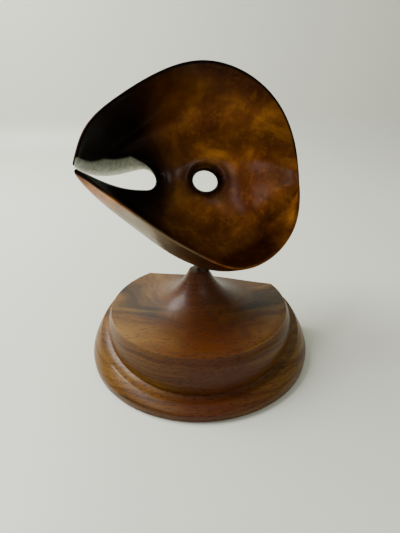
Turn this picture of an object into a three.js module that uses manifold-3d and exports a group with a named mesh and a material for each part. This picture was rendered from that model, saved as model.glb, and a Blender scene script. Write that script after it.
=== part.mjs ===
// Table sculpture: a folded bronze dish with two openings and a slit, held on a short stem
// over a turned wooden base that rises to a slender cone and is cut flat at the back.
// Millimetres, +Z up, -Y is the front, the origin is on the underside at the turning axis.
import * as THREE from 'three';
import { mergeVertices } from 'three/addons/utils/BufferGeometryUtils.js';
import Module from 'manifold-3d';

const wasm = await Module();
wasm.setup();

// Base sizes
const FOOT_RADIUS = 100;
const FOOT_ROUND = 1.5;
const SKIRT_BOTTOM = 6;
const SKIRT_RADIUS = 100.3;
const SKIRT_TOP_RADIUS = 91.5;
const SKIRT_ROUNDNESS = 1.7;
const GROOVE_RADIUS = 84;
const GROOVE_DROP = 1.5;
const GROOVE_MEAN_HEIGHT = 26.1;
const GROOVE_CLIMB = 12.1;
const GROOVE_WAVE = 2.5;
const EDGE_RADIUS = 80.3;
const EDGE_HEIGHT = 45.1;
const WALL_BULGE = 1.2;
const CONE_TOP_RADIUS = 8.8;
const CONE_HEIGHT = 80;
const CONE_EDGE = 0.4;
const CONE_SPREAD = 17;
const BACK_CUT_DISTANCE = 49;
const BACK_CUT_TURN = 12;
const BASE_SIDES = 72;
const SKIRT_STEPS = [0, 0.3, 0.55, 0.8, 1];
const WALL_STEPS = [0.15, 0.4, 0.7, 1];
const BELL_RADII = [64, 50, 39, 30, 23, 17, 12.5, CONE_TOP_RADIUS];

// Stem sizes
const STEM_RADIUS = 1.9;
const STEM_GAP = 0.3;
const STEM_LENGTH = 5.5;
const STEM_SIDES = 16;

// Dish: where the middle of the valley stands and how the opening faces
const VALLEY_CENTRE = new THREE.Vector3(-17.5, 65.5, 145.8);
const TURN = 15;
const LEAN = 61;
const ROLL = -4;

// Dish: curves through evenly spaced points, from the pointed left end to the right end.
// Each point is [along the valley, across it, toward the opening].
const UPPER_RIM = [[-92.4, -12.3, 78], [-81.9, 17.2, 78.5], [-56.8, 41.9, 76], [-25.9, 64.5, 70],
  [11.9, 82.5, 60], [54.2, 83.7, 46.4], [91.3, 65.5, 32], [112.7, 31.2, 20.4], [117.3, -11.2, 15]];
const LOWER_RIM = [[-91.8, -16.1, 81], [-71.2, -33.2, 82], [-49.6, -49.8, 80], [-26.2, -66.2, 74.7],
  [1.3, -81.2, 66], [35.2, -92.8, 53.9], [74.2, -82, 40], [104.8, -51.7, 26.4], [117.3, -11.2, 15]];
const VALLEY = [[-90.9, -14.7, 79.5], [-85.5, -13.4, 61.7], [-66.8, -9.3, 26.8], [-33.6, -3.6, 3.9],
  [7.9, -2.6, 0], [50.1, -4.5, 1.5], [85.7, -7.3, 6.8], [109, -10.2, 12.5], [117.3, -11.2, 15]];
// How steeply the wall arrives at its rim, from the upper lip round the right end to the lower lip
const RIM_SLOPE = [80, 75, 60, 35, 0, -58, -114, -97, -77];
const COLUMN_HANDLE = 0.5;
// Straight facets lie inside a curved rim, so the rim stands out by this much
const FACET_ALLOWANCE = 0.25;

// Dish: wall, thinner at the rim and fuller at the openings
const WALL = 4.4;
const RIM_WALL = 2.3;
const RIM_TAPER = 9;
const LIP_SWELL = 1;
const LIP_REACH = 9;

// Dish: the drop and the eye, and how their lips roll back
const DROP_END = -23.4;
const DROP_RADIUS = 9.5;
const UPPER_DROP_TAPER = 0.62;
const LOWER_DROP_TAPER = 1.15;
const EYE_CENTRE = 25.3;
const EYE_LENGTH = 11.6;
const EYE_HEIGHT = 9.7;
const SMALLEST_OPENING = 0.05;
const ROLL_ANGLE = 80;
const DROP_ROLL = 10;
const EYE_ROLL = 5.5;
const LIP_SHARE = 0.3;
// How fully the drop's lips roll back, from its tip to its round end
const UPPER_LIP_ROLL = [0, 0.8, 1, 0.9, 0.45];
const LOWER_LIP_ROLL = [0, 0.1, 0.15, 0.25, 0.45];

// Dish: how many columns cross the drop, the bridge, the eye and the open end, and their rows
const COLUMNS = { drop: 14, bridge: 7, eye: 12, open: 15 };
const ROUND_STEPS = 2;
const LIP_ROWS = 3;
const PLAIN_ROWS = 6;
const MEASURE_STEPS = 60;
const BORDER_SAMPLES = 300;

const radians = THREE.MathUtils.degToRad;

// A natural cubic curve through evenly spaced values, as a function of t from 0 to 1
function smoothCurve(values) {
  const last = values.length - 1;
  const bend = new Array(last + 1).fill(0);
  const lean = new Array(last + 1).fill(0);
  for (let i = 1; i < last; i += 1) {
    const pull = 4 - lean[i - 1];
    lean[i] = 1 / pull;
    bend[i] = (6 * (values[i + 1] - 2 * values[i] + values[i - 1]) - bend[i - 1]) / pull;
  }
  for (let i = last - 1; i > 0; i -= 1) {
    bend[i] -= lean[i] * bend[i + 1];
  }
  return (t) => {
    const at = THREE.MathUtils.clamp(t, 0, 1) * last;
    const i = Math.min(Math.floor(at), last - 1);
    const f = at - i;
    const g = 1 - f;
    const curved = ((g ** 3 - g) * bend[i] + (f ** 3 - f) * bend[i + 1]) / 6;
    return g * values[i] + f * values[i + 1] + curved;
  };
}

function smoothPath(points) {
  const parts = [0, 1, 2].map((axis) => smoothCurve(points.map((point) => point[axis])));
  return (t) => new THREE.Vector3(parts[0](t), parts[1](t), parts[2](t));
}

const valley = smoothPath(VALLEY);
const wholeRim = smoothPath([...UPPER_RIM, ...LOWER_RIM.slice(0, -1).reverse()]);
const rimSlope = smoothCurve(RIM_SLOPE);
const rollAngle = radians(ROLL_ANGLE);
const sides = {
  upper: {
    sign: 1,
    rim: (t) => wholeRim(t / 2),
    slope: (t) => rimSlope(t / 2),
    taper: UPPER_DROP_TAPER,
    roll: smoothCurve(UPPER_LIP_ROLL),
  },
  lower: {
    sign: -1,
    rim: (t) => wholeRim(1 - t / 2),
    slope: (t) => -rimSlope(1 - t / 2),
    taper: LOWER_DROP_TAPER,
    roll: smoothCurve(LOWER_LIP_ROLL),
  },
};

// The column parameter at which the valley reaches a given place along its length
function columnAt(along) {
  let low = 0;
  let high = 1;
  while (high - low > 1e-7) {
    const middle = (low + high) / 2;
    if (valley(middle).x < along) {
      low = middle;
    } else {
      high = middle;
    }
  }
  return (low + high) / 2;
}

const dropEndColumn = columnAt(DROP_END);
const eyeLeftColumn = columnAt(EYE_CENTRE - EYE_LENGTH);
const eyeRightColumn = columnAt(EYE_CENTRE + EYE_LENGTH);

// Half the height of the opening that a column crosses, and nothing where the dish is whole
function openingHalf(side, along) {
  const dropCentre = DROP_END - DROP_RADIUS;
  if (along < dropCentre) {
    const tip = valley(0).x;
    const taper = Math.max(0, (dropCentre - along) / (dropCentre - tip)) ** side.taper;
    return DROP_RADIUS * (1 + Math.cos(Math.PI * taper)) / 2;
  }
  if (along < DROP_END) {
    return Math.sqrt(Math.max(0, DROP_RADIUS ** 2 - (along - dropCentre) ** 2));
  }
  const eye = 1 - ((along - EYE_CENTRE) / EYE_LENGTH) ** 2;
  return eye > 0 ? EYE_HEIGHT * Math.sqrt(eye) : 0;
}

// The two lips stand apart at the pointed end, and meet the valley at the drop's round end
function columnStart(side, t) {
  const apart = side.rim(0).sub(valley(0));
  const fade = Math.max(0, 1 - t / dropEndColumn) ** 2;
  return valley(t).addScaledVector(apart, fade);
}

// One column of the dish, from the valley out to the rim, as a cubic curve
function column(side, t) {
  const start = columnStart(side, t);
  const rim = side.rim(t);
  const outward = new THREE.Vector3(rim.x - start.x, rim.y - start.y, 0).normalize();
  const slope = radians(side.slope(t));
  const arrive = outward.multiplyScalar(Math.cos(slope)).setZ(Math.sin(slope));
  const reach = start.distanceTo(rim) * COLUMN_HANDLE;
  const handle = start.clone().add(new THREE.Vector3(0, side.sign * reach, 0));
  const end = rim.clone().addScaledVector(arrive, Math.min(FACET_ALLOWANCE, reach));
  return new THREE.CubicBezierCurve3(start, handle, rim.addScaledVector(arrive, -reach), end);
}

// How far along a column the wall begins, past the opening
function wallStart(side, t, curve) {
  const half = openingHalf(side, valley(t).x);
  const from = curve.getPoint(0);
  if (half < SMALLEST_OPENING) {
    return 0;
  }
  let low = 0;
  let high = 0.6;
  for (let step = 0; step < 40; step += 1) {
    const middle = (low + high) / 2;
    if (Math.abs(curve.getPoint(middle).y - from.y) < half) {
      low = middle;
    } else {
      high = middle;
    }
  }
  return low;
}

// Every column from the pointed end to the right end, closer together where the spans meet,
// whether it begins on the edge of an opening, and whether both halves meet there
function columnPlaces() {
  const places = [{ t: 0, onOpening: true, whole: false }];
  const spread = (from, to, count, open) => {
    for (let i = 1; i <= count; i += 1) {
      const ease = (1 - Math.cos(Math.PI * i / count)) / 2;
      places.push({ t: from + (to - from) * ease, onOpening: open, whole: !open || i === count });
    }
  };
  spread(0, dropEndColumn, COLUMNS.drop, true);
  spread(dropEndColumn, eyeLeftColumn, COLUMNS.bridge, false);
  places.at(-1).onOpening = true;
  spread(eyeLeftColumn, eyeRightColumn, COLUMNS.eye, true);
  spread(eyeRightColumn, 1, COLUMNS.open, false);
  return places;
}

// Distances along a column for its rows: close together at both rounded edges and over the lip
function rowDistances(length) {
  const lipRound = Math.min((WALL + LIP_SWELL) / 2, length / 6);
  const rimRound = Math.min(RIM_WALL / 2, length / 6);
  const lip = Math.min(DROP_ROLL * rollAngle, length * LIP_SHARE);
  const rows = [];
  const quarter = Math.PI / 2;
  for (let i = 0; i <= ROUND_STEPS; i += 1) {
    rows.push(lipRound * (1 - Math.cos(quarter * i / ROUND_STEPS)));
  }
  for (let i = 1; i <= LIP_ROWS; i += 1) {
    rows.push(lipRound + (lip - lipRound) * (i / LIP_ROWS));
  }
  for (let i = 1; i <= PLAIN_ROWS; i += 1) {
    rows.push(lip + (length - rimRound - lip) * Math.sin(quarter * i / PLAIN_ROWS));
  }
  for (let i = ROUND_STEPS - 1; i >= 0; i -= 1) {
    rows.push(length - rimRound * (1 - Math.cos(quarter * i / ROUND_STEPS)));
  }
  return rows;
}

// The edge of one opening on one side, as a row of points
function openingEdge(side, from, to, ease) {
  const edge = [];
  for (let i = 0; i <= BORDER_SAMPLES; i += 1) {
    const t = from + (to - from) * ease(i / BORDER_SAMPLES);
    const curve = column(side, t);
    edge.push(curve.getPoint(wallStart(side, t, curve)));
  }
  return edge;
}

// The nearest place on a row of points, its distance, the row's direction and how far along it is
function nearestOn(path, point) {
  let best = { distance: Infinity };
  for (let i = 1; i < path.length; i += 1) {
    const line = new THREE.Line3(path[i - 1], path[i]);
    const place = line.closestPointToPoint(point, true, new THREE.Vector3());
    const distance = place.distanceTo(point);
    if (distance < best.distance) {
      best = { place, distance, line, share: (i - 1) / (path.length - 2) };
    }
  }
  return best;
}

// The wall rolled back round a soft lip along both openings, without being stretched
function rollLips(side, grid, lengths) {
  const quarterSine = (f) => Math.sin(f * Math.PI / 2);
  const halfCosine = (f) => (1 - Math.cos(f * Math.PI)) / 2;
  const lips = [
    { edge: openingEdge(side, 0, dropEndColumn, quarterSine), radius: (f) => DROP_ROLL * side.roll(f) },
    { edge: openingEdge(side, eyeLeftColumn, eyeRightColumn, halfCosine), radius: () => EYE_ROLL },
  ];
  for (const { edge, radius } of lips) {
    grid.forEach((rows, i) => rows.forEach(({ point, normal }) => {
      const near = nearestOn(edge, point);
      const bend = Math.min(radius(near.share), LIP_SHARE * lengths[i] / rollAngle);
      const rest = Math.max(0, bend * rollAngle - near.distance);
      const away = point.clone().sub(near.place);
      if (near.distance < SMALLEST_OPENING / 2) {
        away.crossVectors(normal, near.line.delta(new THREE.Vector3())).multiplyScalar(side.sign);
      }
      away.normalize();
      const turn = rest > 0 ? rest / bend : 0;
      point.addScaledVector(away, rest - bend * Math.sin(turn));
      point.addScaledVector(normal, -bend * (1 - Math.cos(turn)));
      normal.multiplyScalar(Math.cos(turn)).addScaledVector(away, -Math.sin(turn));
    }));
  }
}

// The middle surface of one half of the dish, as rows of points with their normals
function halfDish(side, places) {
  const nudge = 1e-4;
  const lengths = [];
  const grid = places.map(({ t }) => {
    const curve = column(side, t);
    const before = column(side, Math.max(0, t - nudge));
    const after = column(side, Math.min(1, t + nudge));
    const start = wallStart(side, t, curve);
    const table = [];
    let length = 0;
    for (let i = 0; i <= MEASURE_STEPS; i += 1) {
      const v = start + (1 - start) * (i / MEASURE_STEPS);
      const point = curve.getPoint(v);
      length += i === 0 ? 0 : point.distanceTo(table[i - 1].point);
      table.push({ v, point, length });
    }
    lengths.push(length);
    return rowDistances(length).map((distance) => {
      let i = 0;
      while (i < MEASURE_STEPS - 1 && table[i + 1].length < distance) {
        i += 1;
      }
      const span = table[i + 1].length - table[i].length;
      const f = span > 0 ? Math.min(1, (distance - table[i].length) / span) : 1;
      const v = table[i].v + (table[i + 1].v - table[i].v) * f;
      const along = after.getPoint(v).sub(before.getPoint(v));
      const across = v === 0 ? new THREE.Vector3(0, side.sign, 0) : curve.getTangent(v);
      const normal = along.cross(across).multiplyScalar(side.sign).normalize();
      return { point: curve.getPoint(v), normal };
    });
  });
  rollLips(side, grid, lengths);
  return grid;
}

// Both halves, sharing their points along the valley and at the right end
function dishSheet(places) {
  const upper = halfDish(sides.upper, places);
  const lower = halfDish(sides.lower, places);
  places.forEach(({ whole }, i) => {
    if (whole) {
      lower[i][0] = upper[i][0];
    }
  });
  for (const grid of [upper, lower]) {
    grid[0].fill(grid[0][0]);
    grid.at(-1).fill(upper.at(-1)[0]);
  }
  return { upper, lower };
}

// Half the thickness at a point: thinner at the rim, fuller at the openings, rounded to nothing
// at every edge
function halfThickness(point, rims, lips) {
  const distanceTo = (paths) => Math.min(...paths.map((path) => nearestOn(path, point).distance));
  const toRim = distanceTo(rims);
  const toLip = distanceTo(lips);
  const wall = WALL - (WALL - RIM_WALL) * Math.exp(-toRim / RIM_TAPER);
  const full = (wall + LIP_SWELL * Math.exp(-((toLip / LIP_REACH) ** 2))) / 2;
  const inset = 1 - Math.min(1, Math.min(toRim, toLip) / full);
  return full * Math.sqrt(1 - inset * inset);
}

// The whole dish: both halves, front and back, sewn along the valley and at every edge
function dishGeometry() {
  const places = columnPlaces();
  const sheet = dishSheet(places);
  const eyeStart = COLUMNS.drop + COLUMNS.bridge;
  const firstRow = (grid, from, to) => grid.slice(from, to + 1).map((rows) => rows[0].point);
  const halves = Object.values(sheet);
  const rims = halves.map((grid) => grid.map((rows) => rows.at(-1).point));
  const drops = halves.map((grid) => firstRow(grid, 0, COLUMNS.drop));
  const eyes = halves.map((grid) => firstRow(grid, eyeStart, eyeStart + COLUMNS.eye));
  const corners = [];
  for (const [name, grid] of Object.entries(sheet)) {
    const lastRow = grid[0].length - 1;
    const faces = { front: 1, back: -1 };
    for (const outward of Object.values(faces)) {
      const skin = grid.map((rows, i) => rows.map(({ point, normal }, j) => {
        const atEnd = i === 0 || i === grid.length - 1 || j === lastRow;
        const onEdge = atEnd || (j === 0 && places[i].onOpening);
        const half = onEdge ? 0 : halfThickness(point, rims, [...drops, ...eyes]);
        return point.clone().addScaledVector(normal, outward * half);
      }));
      for (let i = 0; i < skin.length - 1; i += 1) {
        for (let j = 0; j < lastRow; j += 1) {
          const [a, b, c, d] = [skin[i][j], skin[i + 1][j], skin[i + 1][j + 1], skin[i][j + 1]];
          const flip = sides[name].sign * outward < 0;
          const quads = flip ? [[a, c, b], [a, d, c]] : [[a, b, c], [a, c, d]];
          corners.push(...quads.flat());
        }
      }
    }
  }
  return new THREE.BufferGeometry().setFromPoints(corners);
}

// A closed triangle mesh as a solid, its shared corners merged and its flat faces dropped
function solid(geometry) {
  const bare = geometry.index ? geometry.toNonIndexed() : geometry.clone();
  bare.deleteAttribute('normal');
  bare.deleteAttribute('uv');
  const merged = mergeVertices(bare, 2e-3);
  const index = merged.index.array;
  const triangles = [];
  for (let i = 0; i < index.length; i += 3) {
    const [a, b, c] = [index[i], index[i + 1], index[i + 2]];
    if (a !== b && b !== c && c !== a) {
      triangles.push(a, b, c);
    }
  }
  const vertProperties = new Float32Array(merged.attributes.position.array);
  const triVerts = new Uint32Array(triangles);
  return new wasm.Manifold(new wasm.Mesh({ numProp: 3, vertProperties, triVerts }));
}

function geometryOf(manifold) {
  const mesh = manifold.getMesh();
  const geometry = new THREE.BufferGeometry();
  geometry.setAttribute('position', new THREE.BufferAttribute(new Float32Array(mesh.vertProperties), 3));
  geometry.setIndex(new THREE.BufferAttribute(new Uint32Array(mesh.triVerts), 1));
  geometry.computeVertexNormals();
  return geometry;
}

// The groove runs low in front and climbs toward the back
function grooveHeight(angle) {
  return GROOVE_MEAN_HEIGHT + GROOVE_CLIMB * Math.sin(angle) + GROOVE_WAVE * Math.cos(2 * angle);
}

// The base's half outline at one angle, from the middle of the underside to the cone's top
function baseOutline(angle) {
  const groove = grooveHeight(angle);
  const outline = [[0, 0], [FOOT_RADIUS - FOOT_ROUND, 0], [FOOT_RADIUS, FOOT_ROUND]];
  const skirtTop = groove - GROOVE_DROP;
  for (const s of SKIRT_STEPS) {
    const radius = SKIRT_RADIUS - (SKIRT_RADIUS - SKIRT_TOP_RADIUS) * s ** SKIRT_ROUNDNESS;
    outline.push([radius, SKIRT_BOTTOM + (skirtTop - SKIRT_BOTTOM) * s]);
  }
  outline.push([(SKIRT_TOP_RADIUS + GROOVE_RADIUS) / 2, skirtTop], [GROOVE_RADIUS, groove]);
  for (const s of WALL_STEPS) {
    const bulge = WALL_BULGE * Math.sin(s * Math.PI);
    const radius = GROOVE_RADIUS + (EDGE_RADIUS - GROOVE_RADIUS) * s + bulge;
    outline.push([radius, groove + (EDGE_HEIGHT - groove) * s]);
  }
  const shoulder = CONE_HEIGHT - CONE_EDGE;
  const fall = (radius) => Math.exp(-(radius - CONE_TOP_RADIUS) / CONE_SPREAD);
  const rise = (shoulder - EDGE_HEIGHT) / (1 - fall(EDGE_RADIUS));
  for (const radius of BELL_RADII) {
    outline.push([radius, EDGE_HEIGHT + rise * (fall(radius) - fall(EDGE_RADIUS))]);
  }
  outline.push([CONE_TOP_RADIUS - 2 * CONE_EDGE, CONE_HEIGHT], [0, CONE_HEIGHT]);
  return outline;
}

// The front outline turned about the axis, each of its columns then lifted to its own groove
function turnedGeometry() {
  const front = baseOutline(-Math.PI / 2).map(([radius, height]) => new THREE.Vector2(radius, height));
  const turned = new THREE.LatheGeometry(front, BASE_SIDES).rotateX(Math.PI / 2);
  const points = turned.attributes.position;
  for (let i = 0; i < points.count; i += 1) {
    const angle = Math.atan2(points.getY(i), points.getX(i));
    points.setZ(i, baseOutline(angle)[i % front.length][1]);
  }
  return turned;
}

function makeBase() {
  const block = new THREE.BoxGeometry(4 * FOOT_RADIUS, 2 * FOOT_RADIUS, 4 * FOOT_RADIUS);
  block.translate(0, BACK_CUT_DISTANCE + FOOT_RADIUS, 0);
  block.rotateZ(-radians(BACK_CUT_TURN));
  const geometry = geometryOf(solid(turnedGeometry()).subtract(solid(block)));
  const wood = new THREE.MeshStandardMaterial({ color: '#8a5a2c', roughness: 0.38, metalness: 0 });
  const mesh = new THREE.Mesh(geometry, wood);
  mesh.name = 'wooden_base';
  return mesh;
}

// The dish turned, leaned back and set in place, joined to the stem that carries it
function makeDish() {
  const pose = new THREE.Matrix4().makeRotationZ(radians(TURN));
  pose.multiply(new THREE.Matrix4().makeRotationX(radians(LEAN)));
  pose.multiply(new THREE.Matrix4().makeRotationZ(radians(ROLL)));
  pose.setPosition(VALLEY_CENTRE);
  const shell = dishGeometry().applyMatrix4(pose);
  const bottom = CONE_HEIGHT + STEM_GAP;
  const stem = new THREE.CylinderGeometry(STEM_RADIUS, STEM_RADIUS, STEM_LENGTH, STEM_SIDES);
  stem.rotateX(Math.PI / 2);
  stem.translate(0, 0, bottom + STEM_LENGTH / 2);
  const geometry = geometryOf(solid(shell).add(solid(stem)));
  const bronze = new THREE.MeshStandardMaterial({ color: '#6b3f1c', roughness: 0.35, metalness: 0.9 });
  const mesh = new THREE.Mesh(geometry, bronze);
  mesh.name = 'bronze_form';
  return mesh;
}

const sculpture = new THREE.Group();
sculpture.add(makeBase(), makeDish());

export default sculpture;
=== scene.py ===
import math
from collections import namedtuple

import bpy
import numpy as np
from mathutils import Matrix, Vector


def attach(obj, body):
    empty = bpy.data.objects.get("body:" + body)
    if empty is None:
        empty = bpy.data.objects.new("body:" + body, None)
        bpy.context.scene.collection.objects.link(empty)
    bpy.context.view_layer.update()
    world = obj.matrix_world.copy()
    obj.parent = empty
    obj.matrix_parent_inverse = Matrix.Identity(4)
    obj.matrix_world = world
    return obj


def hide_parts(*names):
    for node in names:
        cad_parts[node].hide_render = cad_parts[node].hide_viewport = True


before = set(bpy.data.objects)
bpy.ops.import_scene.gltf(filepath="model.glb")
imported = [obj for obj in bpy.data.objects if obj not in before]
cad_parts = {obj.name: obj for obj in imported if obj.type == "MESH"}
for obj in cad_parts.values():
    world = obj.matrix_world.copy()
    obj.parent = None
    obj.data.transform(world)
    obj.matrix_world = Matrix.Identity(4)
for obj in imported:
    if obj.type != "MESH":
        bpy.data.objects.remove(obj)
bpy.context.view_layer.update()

bl_info = {
    "name": "Folded dish sculpture",
    "version": (1, 0, 0),
    "blender": (4, 5, 0),
    "location": "3D View > Sidebar > Sculpture",
    "description": "A folded bronze dish on a turned wooden base",
    "category": "Add Mesh",
}

MM = 0.001

# The dish's curves, through evenly spaced points from its pointed left end to its right end.
# Each point is [along the valley, across it, toward the opening], in millimetres.
UPPER_RIM = [[-92.4, -12.3, 78], [-81.9, 17.2, 78.5], [-56.8, 41.9, 76], [-25.9, 64.5, 70],
             [11.9, 82.5, 60], [54.2, 83.7, 46.4], [91.3, 65.5, 32], [112.7, 31.2, 20.4],
             [117.3, -11.2, 15]]
LOWER_RIM = [[-91.8, -16.1, 81], [-71.2, -33.2, 82], [-49.6, -49.8, 80], [-26.2, -66.2, 74.7],
             [1.3, -81.2, 66], [35.2, -92.8, 53.9], [74.2, -82, 40], [104.8, -51.7, 26.4],
             [117.3, -11.2, 15]]
VALLEY = [[-90.9, -14.7, 79.5], [-85.5, -13.4, 61.7], [-66.8, -9.3, 26.8], [-33.6, -3.6, 3.9],
          [7.9, -2.6, 0], [50.1, -4.5, 1.5], [85.7, -7.3, 6.8], [109, -10.2, 12.5],
          [117.3, -11.2, 15]]
# How steeply the wall arrives at its rim, from the upper lip round the right end to the lower lip
RIM_SLOPE = [80, 75, 60, 35, 0, -58, -114, -97, -77]
# How fully the drop opening's lips roll back, from its tip to its round end
UPPER_LIP_ROLL = [0, 0.8, 1, 0.9, 0.45]
LOWER_LIP_ROLL = [0, 0.1, 0.15, 0.25, 0.45]
# How soon each side of the drop opening narrows toward its tip
UPPER_DROP_TAPER, LOWER_DROP_TAPER = 0.62, 1.15
COLUMN_HANDLE = 0.5
VALLEY_CENTRE = (-17.5, 65.5, 145.8)
TURN, LEAN, ROLL = 15, 61, -4
SMALLEST_OPENING = 0.05
BORDER_SAMPLES = 400
MEASURE_SAMPLES = 400
SEARCH_STEPS = 50
# How far along a column an opening can reach, and the largest part of it that rolls into a lip
OPENING_SHARE, LIP_SHARE = 0.6, 0.3
NUDGE = 1e-4
TINY = 1e-9
DROP_COLUMNS, BRIDGE_COLUMNS, EYE_COLUMNS, OPEN_COLUMNS = 52, 26, 36, 56
EDGE_ROWS, PLAIN_ROWS = 7, 56
EDGE_BAND = 3.2
# An edge of the sheet counts as a lip when both its ends lie on an opening
LIP_EDGE = 0.75
SKIN_MERGE = 1e-6
STEM_SIDES = 32


# Node helpers


class Tree:
    """Adds nodes to a tree, with their settings and inputs in one line."""

    def __init__(self, tree):
        self.tree = tree

    def add(self, kind, inputs=None, **settings):
        node = self.tree.nodes.new(kind)
        for name, value in settings.items():
            setattr(node, name, value)
        self.fill(node, inputs or {})
        return node

    def fill(self, node, inputs):
        for key, value in inputs.items():
            self.put(node.inputs[key], value)

    def put(self, socket, value):
        if isinstance(value, bpy.types.NodeSocket):
            self.tree.links.new(value, socket)
        elif isinstance(value, bpy.types.Node):
            self.tree.links.new(value.outputs[0], socket)
        else:
            socket.default_value = value

    def maths(self, operation, a, b=None, c=None, clamp=False):
        values = {i: v for i, v in enumerate((a, b, c)) if v is not None}
        return self.add("ShaderNodeMath", values, operation=operation, use_clamp=clamp).outputs[0]

    def times(self, *factors):
        value = factors[0]
        for factor in factors[1:]:
            value = self.maths("MULTIPLY", value, factor)
        return value


def geometry_tree(name, sizes):
    """An empty geometry tree with named inputs for its sizes and its material."""
    group = bpy.data.node_groups.new(name, "GeometryNodeTree")
    group.interface.new_socket("Geometry", in_out="INPUT", socket_type="NodeSocketGeometry")
    for label in sizes:
        group.interface.new_socket(label, in_out="INPUT", socket_type="NodeSocketFloat")
    group.interface.new_socket("Material", in_out="INPUT", socket_type="NodeSocketMaterial")
    group.interface.new_socket("Geometry", in_out="OUTPUT", socket_type="NodeSocketGeometry")
    tree = Tree(group)
    source = tree.add("NodeGroupInput")
    return group, tree, source


def finish_tree(tree, source, geometry):
    real = tree.add("GeometryNodeRealizeInstances", {"Geometry": geometry})
    coloured = tree.add("GeometryNodeSetMaterial",
                        {"Geometry": real, "Material": source.outputs["Material"]})
    tree.add("NodeGroupOutput", {"Geometry": coloured})


def values_of(settings, labels):
    """The settings that go by the names of a tree's inputs."""
    return {label: getattr(settings, label.lower().replace(" ", "_")) for label in labels}


def made_plain(carrier, group, values, name):
    """Runs a geometry tree on an object and returns the result as a plain object."""
    modifier = carrier.modifiers.new(name, "NODES")
    modifier.node_group = group
    for item in group.interface.items_tree:
        if item.in_out == "INPUT" and item.name in values:
            modifier[item.identifier] = values[item.name]
    graph = bpy.context.evaluated_depsgraph_get()
    mesh = bpy.data.meshes.new_from_object(carrier.evaluated_get(graph), depsgraph=graph)
    mesh.name = name
    carrier.modifiers.remove(modifier)
    bpy.data.objects.remove(carrier)
    made = bpy.data.objects.new(name, mesh)
    bpy.context.scene.collection.objects.link(made)
    return made


def object_of(name, points, faces):
    mesh = bpy.data.meshes.new(name)
    mesh.from_pydata([tuple(point) for point in points], [], faces)
    thing = bpy.data.objects.new(name, mesh)
    bpy.context.scene.collection.objects.link(thing)
    return thing


def add_attribute(thing, name, kind, values):
    attribute = thing.data.attributes.new(name, kind, "POINT")
    key = "vector" if kind == "FLOAT_VECTOR" else "value"
    attribute.data.foreach_set(key, np.asarray(values, dtype=np.float32).ravel())


# The dish's sheet


def smooth_curve(values):
    """A natural cubic curve through evenly spaced values, as a function of t from 0 to 1."""
    values = np.asarray(values, dtype=float)
    last = len(values) - 1
    matrix = 4 * np.eye(last - 1) + np.eye(last - 1, k=1) + np.eye(last - 1, k=-1)
    bend = np.zeros_like(values)
    bend[1:-1] = np.linalg.solve(matrix, 6 * (values[2:] - 2 * values[1:-1] + values[:-2]))

    def at(t):
        place = min(max(t, 0.0), 1.0) * last
        i = min(int(place), last - 1)
        f = place - i
        g = 1 - f
        curved = ((g ** 3 - g) * bend[i] + (f ** 3 - f) * bend[i + 1]) / 6
        return g * values[i] + f * values[i + 1] + curved

    return at


valley = smooth_curve(VALLEY)
whole_rim = smooth_curve(UPPER_RIM + LOWER_RIM[-2::-1])
rim_slope = smooth_curve(RIM_SLOPE)
Side = namedtuple("Side", "sign rim slope roll taper")
SIDES = (
    Side(1, lambda t: whole_rim(t / 2), lambda t: rim_slope(t / 2), UPPER_LIP_ROLL,
         UPPER_DROP_TAPER),
    Side(-1, lambda t: whole_rim(1 - t / 2), lambda t: -rim_slope(1 - t / 2), LOWER_LIP_ROLL,
         LOWER_DROP_TAPER),
)


def column_at(along):
    """The column parameter at which the valley reaches a place along its length."""
    low, high = 0.0, 1.0
    while high - low > TINY:
        middle = (low + high) / 2
        if valley(middle)[0] < along:
            low = middle
        else:
            high = middle
    return (low + high) / 2


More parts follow.
